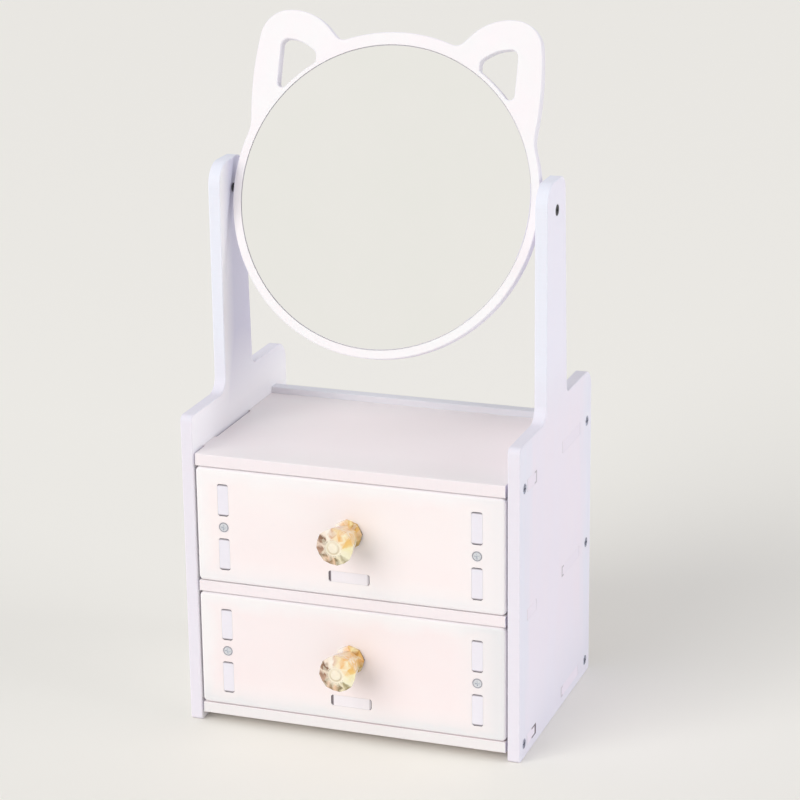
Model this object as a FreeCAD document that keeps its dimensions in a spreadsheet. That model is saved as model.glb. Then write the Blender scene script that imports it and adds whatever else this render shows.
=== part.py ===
import FreeCAD, Part
import math
import os

import Sketcher
from FreeCAD import Placement, Rotation, Vector

# A vanity mirror with drawers, cut from flat board and held by tenons and screws.
# Two side panels carry three shelves, a back panel and, on their posts, a round mirror
# on a cat-ear board. Two drawers slide in the bays between the shelves.
# Millimetres. X is to the right, the drawers open towards -Y, Z is up. The origin is on
# the table, below the middle of the whole object's box.

SIZES = {
    # boards
    "side_board": 10.0,           # side panels, top shelf, rear rail and drawer fronts
    "inner_board": 9.0,           # lower shelves, back panel and drawer boxes
    "edge_bevel": 0.6,            # broken edges of the boards that show
    # cabinet
    "width": 280.0,               # over both side panels
    "depth": 200.0,               # of a side panel
    "foot_gap": 7.5,              # from the table to the bottom board
    "bay_height": 97.0,           # clear height of each drawer bay
    "lip_rise": 30.5,             # side panel above the top shelf, in front of its post
    "lobe_rise": 37.5,            # and behind its post
    "lip_round": 5.0,
    "lobe_round": 16.0,
    "foot_round": 3.0,
    "back_inset": 8.0,            # from the side panels' rear edges to the back panel
    "rail_rise": 5.5,             # rear rail above the top shelf
    "rail_inset": 16.0,           # from the top shelf's rear edge to the rail
    # posts of the side panels
    "post_place": 70.0,           # front face, from the cabinet's front
    "post_rise": 217.5,           # above the top shelf
    "post_top_depth": 49.0,
    "post_foot_depth": 57.0,
    "post_front_round": 18.0,
    "post_rear_round": 12.0,
    "post_front_fillet": 12.0,
    "post_rear_fillet": 6.0,
    # shelf tenons and their mortises
    "front_tenon_start": 20.0,    # from the cabinet's front
    "front_tenon_length": 24.0,
    "rear_tenon_inset": 34.0,     # from the side panels' rear edges
    "rear_tenon_length": 50.0,
    "shelf_gap": 1.8,             # from a shelf's shoulder to the side panel
    "tenon_fit": 0.1,             # on the board's faces
    "tenon_play": 0.6,            # at the tenon's ends
    # wood screws
    "screw_head": 4.0,            # radius
    "screw_shank": 1.75,          # radius
    "screw_rim": 0.3,             # straight edge of the countersunk head
    "screw_length": 26.0,
    "screw_fit": 0.05,
    "cross_span": 4.4,            # cross recess in a head
    "cross_width": 1.0,
    "cross_depth": 1.2,
    "panel_screw_front": 12.5,    # front screw row, from the cabinet's front
    # drawers
    "front_gap_low": 0.4,
    "front_gap_high": 0.8,
    "front_gap_side": 1.4,
    "front_round": 4.0,
    "front_ease": 2.5,            # rounded edges round the face
    "box_side_gap": 20.0,         # from a drawer's side to the side panel
    "box_rear_gap": 8.0,          # from a drawer's rear to the back panel
    "box_low_gap": 0.3,           # from a drawer's box to the shelf that it slides on
    "box_high_gap": 6.7,          # and to the shelf above
    "tab_height": 25.6,
    "tab_round": 2.0,             # corners of the tabs and their mortises
    "tab_spread": 22.8,           # from the drawer's screws to the middle of each tab
    "tab_drop": 0.9,              # screws below the middle of the drawer front
    "floor_place": 12.4,          # underside of the drawer's bottom
    "floor_tab": 33.0,
    "floor_side_tab": 40.0,
    # knobs
    "knob_rise": 6.4,             # above the drawer's screws
    "knob_reach": 34.0,
    "knob_base_radius": 12.2,
    "knob_base_thick": 5.5,
    "knob_base_side": 2.8,        # straight side below its bevel
    "knob_base_top": 10.0,        # radius above its bevel
    "knob_neck_radius": 8.6,
    "knob_head_radius": 14.4,
    "knob_head_length": 19.0,     # flared part behind the face
    "knob_rim_length": 3.4,       # bevel from the widest place to the face
    "knob_face_radius": 10.9,
    "knob_boss_radius": 4.2,
    "knob_boss_rise": 1.6,
    "knob_lobe_radius": 3.8,
    "knob_lobe_bite": 1.5,
    "knob_lobes": 8.0,
    "knob_shank": 2.0,
    "knob_shank_reach": 18.0,     # screw inside the knob
    "knob_screw_head": 4.6,
    "knob_screw_head_thick": 2.6,
    # mirror
    "pivot_inset": 26.5,          # pivot axis, from the post's front face
    "pivot_drop": 24.0,           # and below the post's top
    "mirror_tilt": 19.0,          # degrees, top leaning back
    "mirror_board": 9.0,
    "pivot_to_back": 3.6,         # pivot axis to the rear face of the mirror board
    "mirror_clear": 3.0,          # beside the mirror board
    "ring_width": 7.0,            # board that shows round the glass
    "brow_rise": 3.0,             # extra width of the ring between the ears
    "glass_thick": 3.0,
    "glass_fit": 0.1,
    "glass_proud": 0.2,
    # cat ears, each placed by the centre of its round tip
    "ear_tip_out": 24.4,          # from the ring's edge
    "ear_tip_angle": 52.1,        # degrees above the pivot axis
    "ear_tip_radius": 24.0,
    "ear_side_radius": 255.0,
    "ear_side_drop": 34.5,        # from the tip to the side's widest place
    "ear_crown_radius": 45.0,
    "ear_crown_start": 84.0,     # degrees round the tip
    "ear_crown_end": 138.0,
    "ear_root_round": 9.0,
    "ear_side_root_round": 30.0,
    "window_ring": 3.4,           # board left between the glass and the ear's window
    "window_out": 5.4,            # window's outer side, from the tip
    "window_in": 25.0,            # inner side
    "window_rise": 0.8,           # upper outer corner
    "window_fall": 9.2,           # upper inner corner
    "window_crown": 38.0,         # radius of its upper edge
    "window_round": 6.0,
    "window_corner": 4.0,
    # mirror pivots
    "pivot_head": 4.3,
    "pivot_shank": 1.9,
    "pivot_length": 25.0,
    "pivot_play": 0.3,            # between the turning head and its countersink
    "pivot_fit": 0.05,
    "washer_radius": 3.6,
    "washer_thick": 2.2,
}


class Size:
    """A length together with the spreadsheet formula that gives it."""

    def __init__(self, value, text):
        self.value = value
        self.text = text

    def __add__(self, other):
        other = as_size(other)
        return Size(self.value + other.value, "(%s + %s)" % (self.text, other.text))

    def __sub__(self, other):
        other = as_size(other)
        return Size(self.value - other.value, "(%s - %s)" % (self.text, other.text))

    def __mul__(self, other):
        other = as_size(other)
        return Size(self.value * other.value, "(%s * %s)" % (self.text, other.text))

    def __truediv__(self, other):
        other = as_size(other)
        return Size(self.value / other.value, "(%s / %s)" % (self.text, other.text))

    def __radd__(self, other):
        return as_size(other) + self

    def __rsub__(self, other):
        return as_size(other) - self

    def __rmul__(self, other):
        return as_size(other) * self

    def __neg__(self):
        return Size(-self.value, "(0 - %s)" % self.text)


def as_size(number):
    if isinstance(number, Size):
        return number
    return Size(float(number), "%.6g" % number if number >= 0 else "(0 - %.6g)" % -number)


def root_of(number):
    return Size(math.sqrt(number.value), "sqrt(%s)" % number.text)


def sine(angle):
    return Size(math.sin(math.radians(angle.value)), "sin(%s * 1 deg)" % angle.text)


def cosine(angle):
    return Size(math.cos(math.radians(angle.value)), "cos(%s * 1 deg)" % angle.text)


document = FreeCAD.newDocument("vanity_mirror")
sheet = document.addObject("Spreadsheet::Sheet", "Sizes")
for row, (alias, number) in enumerate(SIZES.items(), start=1):
    sheet.set("A%d" % row, alias)
    sheet.set("B%d" % row, str(number))
    sheet.setAlias("B%d" % row, alias)
document.recompute()


def size(alias):
    return Size(SIZES[alias], "Sizes." + alias)


# ---------------------------------------------------------------- derived places

half = size("width") / 2
side_board = size("side_board")
inner_board = size("inner_board")
depth = size("depth")
inner_half = half - side_board
cabinet_front = -((depth - size("knob_reach")) / 2)

bottom_level = size("foot_gap")
lower_bay = bottom_level + inner_board
middle_level = lower_bay + size("bay_height")
upper_bay = middle_level + inner_board
top_level = upper_bay + size("bay_height")
shelf_top = top_level + side_board
post_top = shelf_top + size("post_rise")

back_rear = depth - size("back_inset")
back_front = back_rear - inner_board
back_screw_place = back_rear - inner_board / 2
tenons = [
    (size("front_tenon_start"), size("front_tenon_start") + size("front_tenon_length")),
    (depth - size("rear_tenon_inset") - size("rear_tenon_length"), depth - size("rear_tenon_inset")),
]
wood_pilot = size("screw_shank") + size("screw_fit")

front_low = size("front_gap_low")
front_high = size("bay_height") - size("front_gap_high")
box_half = inner_half - size("box_side_gap")
box_inner = box_half - inner_board
box_rear = back_front - size("box_rear_gap")
box_back_front = box_rear - inner_board
box_low = size("box_low_gap")
box_high = size("bay_height") - size("box_high_gap")
drawer_screw_height = (front_low + front_high) / 2 - size("tab_drop")
knob_height = drawer_screw_height + size("knob_rise")
tab_bands = [
    (drawer_screw_height + sign * size("tab_spread") - size("tab_height") / 2,
     drawer_screw_height + sign * size("tab_spread") + size("tab_height") / 2)
    for sign in (-1, 1)
]
floor_low = size("floor_place")
floor_high = floor_low + inner_board
floor_middle = (side_board + box_back_front) / 2
knob_bore = size("knob_shank") + size("screw_fit")

pivot_place = size("post_place") + size("pivot_inset")
pivot_height = post_top - size("pivot_drop")
pivot_hole = size("pivot_shank") + size("pivot_fit")
mirror_front = size("mirror_board") - size("pivot_to_back")
mirror_radius = inner_half - size("mirror_clear")
glass_radius = mirror_radius - size("ring_width")
brow_radius = mirror_radius + size("brow_rise")


# ---------------------------------------------------------------- modelling helpers

PLANE_NORMAL = {"XY_Plane": Vector(0, 0, 1), "XZ_Plane": Vector(0, -1, 0), "YZ_Plane": Vector(1, 0, 0)}


def bind(thing, path, amount):
    """Tie one property of an object to its formula."""
    thing.setExpression(path, as_size(amount).text)


def new_body(name, across=None, along=None, up=None):
    body = document.addObject("PartDesign::Body", name)
    body.Label = name
    place = [as_size(0 if part is None else part) for part in (across, along, up)]
    body.Placement = Placement(Vector(*[part.value for part in place]), Rotation())
    for letter, part in zip("xyz", place):
        bind(body, "Placement.Base." + letter, part)
    return body


def cabinet_body(name):
    """A piece whose Y starts at the cabinet's front face."""
    return new_body(name, along=cabinet_front)


def drawer_body(name, bay):
    """A piece of a drawer, measured from the front of the floor of its bay."""
    return new_body(name, along=cabinet_front, up=bay)


def mirror_body(name):
    """A piece of the mirror, measured from the middle of the pivot axis and tilted with it."""
    body = new_body(name, along=cabinet_front + pivot_place, up=pivot_height)
    tilt = Rotation(Vector(1, 0, 0), -SIZES["mirror_tilt"])
    body.Placement = Placement(body.Placement.Base, tilt)
    bind(body, "Placement.Rotation.Angle", -size("mirror_tilt"))
    return body


def new_sketch(body, role, offset=0):
    """A sketch on one of the body's own planes, moved along the plane's normal."""
    sketch = body.newObject("Sketcher::SketchObject", body.Name + "_sketch")
    plane = [item for item in body.Origin.OriginFeatures if item.Role == role][0]
    sketch.AttachmentSupport = [(plane, "")]
    sketch.MapMode = "FlatFace"
    offset = as_size(offset)
    sketch.AttachmentOffset = Placement(Vector(0, 0, offset.value), Rotation())
    bind(sketch, "AttachmentOffset.Base.z", offset)
    return sketch


def fix_points(sketch, fixed):
    """Dimension sketch points from the sketch's origin: (geometry, point, across, up)."""
    constraints = []
    formulas = []
    for geometry, point, across, up in fixed:
        for kind, amount in (("DistanceX", as_size(across)), ("DistanceY", as_size(up))):
            constraints.append(Sketcher.Constraint(kind, -1, 1, geometry, point, amount.value))
            formulas.append(amount)
    first = len(sketch.Constraints)
    sketch.addConstraint(constraints)
    for index, amount in enumerate(formulas, start=first):
        bind(sketch, "Constraints[%d]" % index, amount)


def draw_loop(sketch, corners, bends=None):
    """Closed outline through corners.

    bends gives the stretches that are arcs: the number of the corner where one starts,
    then its centre, its radius and 1 or -1 for anticlockwise or clockwise.
    """
    bends = bends or {}
    points = [Vector(as_size(across).value, as_size(up).value, 0) for across, up in corners]
    drawn = []
    for index, start in enumerate(points):
        end = points[(index + 1) % len(points)]
        if index in bends:
            centre, radius, way = bends[index]
            middle = Vector(centre[0].value, centre[1].value, 0)
            angles = [math.atan2(point.y - middle.y, point.x - middle.x) for point in (start, end)]
            circle = Part.Circle(middle, Vector(0, 0, 1), radius.value)
            piece = Part.ArcOfCircle(circle, angles[0], angles[1])
            if way < 0:
                piece = Part.ArcOfCircle(circle, angles[1], angles[0])
            geometry = sketch.addGeometry(piece, False)
            drawn.append((geometry, 1 if way > 0 else 2, 2 if way > 0 else 1))
        else:
            drawn.append((sketch.addGeometry(Part.LineSegment(start, end), False), 1, 2))
    joints = []
    for (geometry, _, end), (following, start, _) in zip(drawn, drawn[1:] + drawn[:1]):
        joints.append(Sketcher.Constraint("Coincident", geometry, end, following, start))
    sketch.addConstraint(joints)
    fix_points(sketch, [(piece[0], piece[1], *corner) for piece, corner in zip(drawn, corners)])
    for index, (centre, radius, way) in bends.items():
        fix_radius(sketch, drawn[index][0], radius)


def fix_radius(sketch, geometry, radius):
    number = sketch.addConstraint(Sketcher.Constraint("Radius", geometry, radius.value))
    bind(sketch, "Constraints[%d]" % number, radius)


def mirrored(corners):
    """The left half of a symmetric outline, from its right half."""
    return [(-across, up) for across, up in reversed(corners)]


def draw_rectangle(sketch, left, right, low, high):
    draw_loop(sketch, [(left, low), (right, low), (right, high), (left, high)])


def draw_circle(sketch, across, up, radius):
    centre = Vector(as_size(across).value, as_size(up).value, 0)
    index = sketch.addGeometry(Part.Circle(centre, Vector(0, 0, 1), radius.value), False)
    fix_radius(sketch, index, radius)
    fix_points(sketch, [(index, 3, across, up)])


def pad(body, sketch, length, side=1):
    """Add material along the sketch's normal, or against it where side is -1."""
    feature = body.newObject("PartDesign::Pad", body.Name + "_pad")
    feature.Profile = sketch
    feature.Reversed = side < 0
    feature.Length = length.value
    bind(feature, "Length", length)
    document.recompute()
    return feature


def pocket(body, sketch, length=None, side=-1):
    """Cut along the normal where side is 1, against it where it is -1, or right through."""
    before = body.Shape.Volume
    feature = body.newObject("PartDesign::Pocket", body.Name + "_pocket")
    feature.Profile = sketch
    if length is None:
        feature.Type = "ThroughAll"
        feature.SideType = "Symmetric"
    else:
        feature.Reversed = side > 0
        feature.Length = length.value
        bind(feature, "Length", length)
    document.recompute()
    if not body.Shape.Volume < before:
        raise RuntimeError(body.Name + ": a pocket cuts nothing")
    return feature


def dress(body, kind, edges, amount):
    """Fillet or chamfer edges of the body's last feature."""
    if not edges:
        raise RuntimeError(body.Name + ": no edges to " + kind)
    base = body.Tip
    feature = body.newObject("PartDesign::" + kind, "%s_%s" % (body.Name, kind.lower()))
    feature.Base = (base, edges)
    value = "Radius" if kind == "Fillet" else "Size"
    setattr(feature, value, amount.value)
    bind(feature, value, amount)
    document.recompute()
    return feature


def edges_where(body, test):
    return ["Edge%d" % number for number, edge in enumerate(body.Tip.Shape.Edges, start=1) if test(edge)]


def close(first, second):
    return abs(first - second) < 1e-4


def edges_through(body, axis, spots):
    """Straight edges parallel to an axis ("x", "y" or "z") that pass through given spots."""
    others = [letter for letter in "xyz" if letter != axis]
    wanted = [(as_size(first).value, as_size(second).value) for first, second in spots]

    def test(edge):
        ends = [vertex.Point for vertex in edge.Vertexes]
        if len(ends) != 2 or edge.Curve.TypeId != "Part::GeomLine":
            return False
        start, end = ends
        if close(getattr(start, axis), getattr(end, axis)):
            return False
        here = [[getattr(point, letter) for letter in others] for point in ends]
        return any(all(close(spot[n], place[n]) for place in here for n in (0, 1)) for spot in wanted)

    return edges_where(body, test)


def edges_in_plane(body, axis, level):
    """Edges that lie wholly in a plane across an axis."""
    level = as_size(level).value

    def test(edge):
        box = edge.BoundBox
        low = getattr(box, axis.upper() + "Min")
        high = getattr(box, axis.upper() + "Max")
        return abs(low - level) < 1e-3 and abs(high - level) < 1e-3

    return edges_where(body, test)


def ring_edges(body, axis, level, radius):
    """Circles of one radius in a plane across an axis."""
    level = as_size(level).value

    def test(edge):
        if edge.Curve.TypeId != "Part::GeomCircle":
            return False
        return close(edge.Curve.Radius, radius.value) and close(getattr(edge.Curve.Center, axis), level)

    return edges_where(body, test)


def drill(body, role, offset, centres, radius, length=None, side=-1):
    sketch = new_sketch(body, role, offset)
    for across, up in centres:
        draw_circle(sketch, across, up, radius)
    return pocket(body, sketch, length, side)


def countersink(body, axis, level, hole, head, play=0):
    """Widen holes at one face so that countersunk heads sit flush in it."""
    amount = as_size(head) - hole + size("screw_rim") + size("screw_fit") + play
    dress(body, "Chamfer", ring_edges(body, axis, level, hole), amount)


def fasteners(body, role, offset, centres, side, head, shank, length, head_thick=None):
    """Screws in one row or face. Countersunk, or pan-headed where head_thick is given.

    side is the way the shanks point, along the plane's normal or against it. The
    heads lie on the same side of the plane as the shanks, or a pan head on the other.
    """
    axis = {"XY_Plane": "z", "XZ_Plane": "y", "YZ_Plane": "x"}[role]
    way = side * getattr(PLANE_NORMAL[role], axis)
    plane = as_size(offset) * getattr(PLANE_NORMAL[role], axis)
    heads = new_sketch(body, role, offset)
    for across, up in centres:
        draw_circle(heads, across, up, head)
    if head_thick is None:
        cone = head - shank - size("screw_fit")
        pad(body, heads, cone + size("screw_rim"), side)
        inner_level = plane + way * (cone + size("screw_rim"))
        dress(body, "Chamfer", ring_edges(body, axis, inner_level, head), cone)
        outer = as_size(offset)
    else:
        pad(body, heads, head_thick, -side)
        outer = as_size(offset) - side * head_thick
    shanks = new_sketch(body, role, offset)
    for across, up in centres:
        draw_circle(shanks, across, up, shank)
    pad(body, shanks, length, side)
    recess = new_sketch(body, role, outer)
    for across, up in centres:
        draw_cross(recess, across, up)
    pocket(body, recess, size("cross_depth"), side)


def draw_cross(sketch, across, up):
    """A cross recess round one centre."""
    far = size("cross_span") / 2
    near = size("cross_width") / 2
    steps = [(-near, far), (-near, near), (-far, near), (-far, -near), (-near, -near), (-near, -far),
             (near, -far), (near, -near), (far, -near), (far, near), (near, near), (near, far)]
    draw_loop(sketch, [(across + right, up + rise) for right, rise in steps])


# ---------------------------------------------------------------- cabinet

def panel_screw_centres():
    """Screws through a side panel: front and rear of the top, rear of the middle, both of the bottom."""
    rows = [(size("panel_screw_front"), top_level + side_board / 2),
            (back_screw_place, top_level + side_board / 2),
            (back_screw_place, middle_level + inner_board / 2),
            (size("panel_screw_front"), bottom_level + inner_board / 2),
            (back_screw_place, bottom_level + inner_board / 2)]
    return rows


def side_panel(name, side):
    """One board: the cabinet's side, with the post that carries the mirror."""
    body = cabinet_body(name)
    base = inner_half if side > 0 else -half
    outer = side * half
    post_front = size("post_place")
    post_rear = post_front + size("post_top_depth")
    post_foot = post_front + size("post_foot_depth")
    lip, lobe = shelf_top + size("lip_rise"), shelf_top + size("lobe_rise")
    outline = new_sketch(body, "YZ_Plane", base)
    draw_loop(outline, [(0, 0), (depth, 0), (depth, lobe), (post_foot, lobe), (post_rear, post_top),
                        (post_front, post_top), (post_front, lip), (0, lip)])
    pad(body, outline, side_board)
    roundings = [
        ("foot_round", [(0, 0), (depth, 0)]),
        ("lobe_round", [(depth, lobe)]),
        ("post_rear_fillet", [(post_foot, lobe)]),
        ("post_rear_round", [(post_rear, post_top)]),
        ("post_front_round", [(post_front, post_top)]),
        ("post_front_fillet", [(post_front, lip)]),
        ("lip_round", [(0, lip)]),
    ]
    for alias, spots in roundings:
        dress(body, "Fillet", edges_through(body, "x", spots), size(alias))
    rims = edges_in_plane(body, "x", base) + edges_in_plane(body, "x", base + side_board)
    dress(body, "Chamfer", rims, size("edge_bevel"))

    mortises = new_sketch(body, "YZ_Plane", base)
    shelves = [(top_level, side_board), (middle_level, inner_board), (bottom_level, inner_board)]
    for level, board in shelves:
        for start, end in tenons:
            draw_rectangle(mortises, start - size("tenon_play"), end + size("tenon_play"),
                           level - size("tenon_fit"), level + board + size("tenon_fit"))
    pocket(body, mortises)
    drill(body, "YZ_Plane", base, panel_screw_centres(), wood_pilot)
    countersink(body, "x", outer, wood_pilot, size("screw_head"))
    drill(body, "YZ_Plane", base, [(pivot_place, pivot_height)], pivot_hole)
    countersink(body, "x", outer, pivot_hole, size("pivot_head"), size("pivot_play"))


def shelf(name, level, board, rear, screw_places):
    """A shelf with two tenons in each side panel and pilot holes in its ends."""
    body = cabinet_body(name)
    shoulder = inner_half - size("shelf_gap")
    right = []
    for start, end in tenons:
        right += [(shoulder, start), (half, start), (half, end), (shoulder, end)]
    right = [(shoulder, 0)] + right + [(shoulder, rear)]
    outline = new_sketch(body, "XY_Plane", level)
    draw_loop(outline, right + mirrored(right))
    pad(body, outline, board)
    front_edges = edges_through(body, "x", [(0, level), (0, level + board)])
    dress(body, "Chamfer", front_edges, size("edge_bevel"))
    reach = size("screw_length") - side_board
    for side in (-1, 1):
        if screw_places:
            centres = [(place, level + board / 2) for place in screw_places]
            drill(body, "YZ_Plane", side * shoulder, centres, wood_pilot, reach, -side)


def back_panel():
    """Closes both bays behind the drawers, held by screws through the side panels."""
    body = cabinet_body("back_panel")
    outline = new_sketch(body, "XZ_Plane", -back_front)
    draw_rectangle(outline, -inner_half, inner_half, bottom_level, top_level)
    pad(body, outline, inner_board, -1)
    centres = [(back_screw_place, level + inner_board / 2) for level in (middle_level, bottom_level)]
    reach = size("screw_length") - side_board
    for side in (-1, 1):
        drill(body, "YZ_Plane", side * inner_half, centres, wood_pilot, reach, -side)


def rear_rail():
    """Low rail on the top shelf that keeps things from sliding off the back."""
    body = cabinet_body("rear_rail")
    rail_rear = back_rear - size("rail_inset")
    rail_front = rail_rear - side_board
    outline = new_sketch(body, "XY_Plane", shelf_top)
    draw_rectangle(outline, -inner_half, inner_half, rail_front, rail_rear)
    pad(body, outline, size("rail_rise"))
    ridge = shelf_top + size("rail_rise")
    dress(body, "Chamfer", edges_through(body, "x", [(rail_front, ridge), (rail_rear, ridge)]),
          size("edge_bevel"))


def cabinet():
    for name, side in (("left_side_panel", -1), ("right_side_panel", 1)):
        side_panel(name, side)
    shelf("top_shelf", top_level, side_board, back_rear, [size("panel_screw_front"), back_screw_place])
    shelf("middle_shelf", middle_level, inner_board, back_front, [])
    shelf("bottom_board", bottom_level, inner_board, back_front, [size("panel_screw_front")])
    back_panel()
    rear_rail()
    for name, side in (("left_panel_screws", -1), ("right_panel_screws", 1)):
        body = cabinet_body(name)
        fasteners(body, "YZ_Plane", side * half, panel_screw_centres(), -side,
                  size("screw_head"), size("screw_shank"), size("screw_length"))


# ---------------------------------------------------------------- drawers

def drawer_screw_centres():
    middle = box_half - inner_board / 2
    return [(side * middle, drawer_screw_height) for side in (-1, 1)]


def corner_spots(sides, levels):
    """The four corners of an upright rectangle."""
    return [(across, up) for across in sides for up in levels]


def drawer_front(name, bay):
    body = drawer_body(name, bay)
    front_half = inner_half - size("front_gap_side")
    fit, play = size("tenon_fit"), size("tenon_play")
    outline = new_sketch(body, "XZ_Plane")
    draw_rectangle(outline, -front_half, front_half, front_low, front_high)
    pad(body, outline, side_board, -1)
    corners = corner_spots((-front_half, front_half), (front_low, front_high))
    dress(body, "Fillet", edges_through(body, "y", corners), size("front_round"))
    dress(body, "Fillet", edges_in_plane(body, "y", 0), size("front_ease"))

    slots = new_sketch(body, "XZ_Plane")
    for left in (-box_half, box_inner):
        for start, end in tab_bands:
            draw_rectangle(slots, left - fit, left + inner_board + fit, start - play, end + play)
    floor_half = size("floor_tab") / 2 + play
    draw_rectangle(slots, -floor_half, floor_half, floor_low - fit, floor_high + fit)
    pocket(body, slots)
    spots = corner_spots((-floor_half, floor_half), (floor_low - fit, floor_high + fit))
    for left in (-box_half, box_inner):
        for start, end in tab_bands:
            spots += corner_spots((left - fit, left + inner_board + fit), (start - play, end + play))
    dress(body, "Fillet", edges_through(body, "y", spots), size("tab_round"))
    drill(body, "XZ_Plane", 0, drawer_screw_centres(), wood_pilot)
    countersink(body, "y", 0, wood_pilot, size("screw_head"))
    drill(body, "XZ_Plane", 0, [(0, knob_height)], knob_bore)


def drawer_side(name, bay, side):
    """A drawer's side, with two tabs through the front and slots for the back and bottom."""
    body = drawer_body(name, bay)
    base = box_inner if side > 0 else -box_half
    fit, play = size("tenon_fit"), size("tenon_play")
    corners = [(side_board, box_low), (box_rear, box_low), (box_rear, box_high), (side_board, box_high)]
    for start, end in reversed(tab_bands):
        corners += [(side_board, end), (0, end), (0, start), (side_board, start)]
    outline = new_sketch(body, "YZ_Plane", base)
    draw_loop(outline, corners)
    pad(body, outline, inner_board)
    spots = [spot for band in tab_bands for spot in corner_spots((base, base + inner_board), band)]
    dress(body, "Fillet", edges_through(body, "y", spots), size("tab_round"))

    slots = new_sketch(body, "YZ_Plane", base)
    for start, end in tab_bands:
        draw_rectangle(slots, box_back_front - fit, box_rear + fit, start - play, end + play)
    reach = size("floor_side_tab") / 2 + play
    draw_rectangle(slots, floor_middle - reach, floor_middle + reach, floor_low - fit, floor_high + fit)
    pocket(body, slots)
    front_hole = [(base + inner_board / 2, drawer_screw_height)]
    drill(body, "XZ_Plane", -side_board, front_hole, wood_pilot, size("screw_length") - side_board, -1)
    drill(body, "YZ_Plane", base, [(box_rear - inner_board / 2, drawer_screw_height)], wood_pilot)
    countersink(body, "x", side * box_half, wood_pilot, size("screw_head"))


def drawer_back(name, bay):
    body = drawer_body(name, bay)
    right = [(box_inner, box_low)]
    for start, end in tab_bands:
        right += [(box_inner, start), (box_half, start), (box_half, end), (box_inner, end)]
    right += [(box_inner, box_high)]
    outline = new_sketch(body, "XZ_Plane", -box_back_front)
    draw_loop(outline, right + mirrored(right))
    pad(body, outline, inner_board, -1)
    slot = new_sketch(body, "XZ_Plane", -box_back_front)
    fit = size("tenon_fit")
    floor_half = size("floor_tab") / 2 + size("tenon_play")
    draw_rectangle(slot, -floor_half, floor_half, floor_low - fit, floor_high + fit)
    pocket(body, slot)
    spots = corner_spots((-floor_half, floor_half), (floor_low - fit, floor_high + fit))
    dress(body, "Fillet", edges_through(body, "y", spots), size("tab_round"))
    centre = [(box_rear - inner_board / 2, drawer_screw_height)]
    reach = size("screw_length") - inner_board
    for side in (-1, 1):
        drill(body, "YZ_Plane", side * box_inner, centre, wood_pilot, reach, -side)


def drawer_bottom(name, bay):
    body = drawer_body(name, bay)
    tab = size("floor_tab") / 2
    side_tab = size("floor_side_tab") / 2
    right = [(tab, 0), (tab, side_board), (box_inner, side_board), (box_inner, floor_middle - side_tab),
             (box_half, floor_middle - side_tab), (box_half, floor_middle + side_tab),
             (box_inner, floor_middle + side_tab), (box_inner, box_back_front), (tab, box_back_front),
             (tab, box_rear)]
    outline = new_sketch(body, "XY_Plane", floor_low)
    draw_loop(outline, right + mirrored(right))
    pad(body, outline, inner_board)
    spots = corner_spots((-tab, tab), (floor_low, floor_high))
    dress(body, "Fillet", edges_through(body, "y", spots), size("tab_round"))


def scallop(body, radius, start, length):
    """Cut evenly spaced flutes round a turned knob, from a plane towards the front."""
    count = size("knob_lobes")
    centre = radius + size("knob_lobe_radius") - size("knob_lobe_bite")
    sketch = new_sketch(body, "XZ_Plane", start)
    draw_circle(sketch, 0, centre, size("knob_lobe_radius"))
    flute = pocket(body, sketch, length, 1)
    pattern = body.newObject("PartDesign::PolarPattern", body.Name + "_flutes")
    pattern.Originals = [flute]
    pattern.Axis = (sketch, ["N_Axis"])
    pattern.Angle = 360
    pattern.Occurrences = int(count.value)
    bind(pattern, "Occurrences", count)
    body.Tip = pattern
    document.recompute()
    return pattern


def turned(body, profile):
    """Revolve a half section, given as (distance in front, radius), about the knob's axis."""
    sketch = new_sketch(body, "YZ_Plane")
    draw_loop(sketch, [(-ahead, radius) for ahead, radius in profile])
    feature = body.newObject("PartDesign::Revolution", body.Name + "_turned")
    feature.Profile = sketch
    feature.ReferenceAxis = (sketch, ["H_Axis"])
    feature.Angle = 360
    document.recompute()
    return feature


def knob_body(name, bay):
    return new_body(name, along=cabinet_front, up=bay + knob_height)


def knob_base(name, bay):
    """Lobed rosette between the knob and the drawer front."""
    body = knob_body(name, bay)
    radius, thick = size("knob_base_radius"), size("knob_base_thick")
    zero = as_size(0)
    turned(body, [(zero, knob_bore), (zero, radius), (size("knob_base_side"), radius),
                  (thick, size("knob_base_top")), (thick, knob_bore)])
    scallop(body, radius, 0, thick)


def knob(name, bay):
    """Flared head with a fluted rim and a small round boss on its face."""
    body = knob_body(name, bay)
    seat, reach = size("knob_base_thick"), size("knob_reach")
    neck, rim, boss = size("knob_neck_radius"), size("knob_head_radius"), size("knob_boss_radius")
    face = reach - size("knob_boss_rise")
    flare = face - size("knob_head_length")
    bore_end = size("knob_shank_reach") + size("screw_fit")
    turned(body, [(seat, knob_bore), (seat, neck), (flare, neck), (face - size("knob_rim_length"), rim),
                  (face, size("knob_face_radius")), (face, boss), (reach, boss), (reach, 0), (bore_end, 0),
                  (bore_end, knob_bore)])
    scallop(body, rim, flare, reach - flare)


def knob_screw(name, bay):
    """Machine screw from inside the drawer into the knob."""
    body = knob_body(name, bay)
    fasteners(body, "XZ_Plane", -side_board, [(as_size(0), as_size(0))], 1, size("knob_screw_head"),
              size("knob_shank"), side_board + size("knob_shank_reach"), size("knob_screw_head_thick"))


def drawer_screws(name, bay):
    """Two wood screws through the front into the sides, and one through each side into the back."""
    body = drawer_body(name, bay)
    head, shank, length = size("screw_head"), size("screw_shank"), size("screw_length")
    fasteners(body, "XZ_Plane", 0, drawer_screw_centres(), -1, head, shank, length)
    back_centre = [(box_rear - inner_board / 2, drawer_screw_height)]
    for side in (-1, 1):
        fasteners(body, "YZ_Plane", side * box_half, back_centre, -side, head, shank, length)


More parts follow.
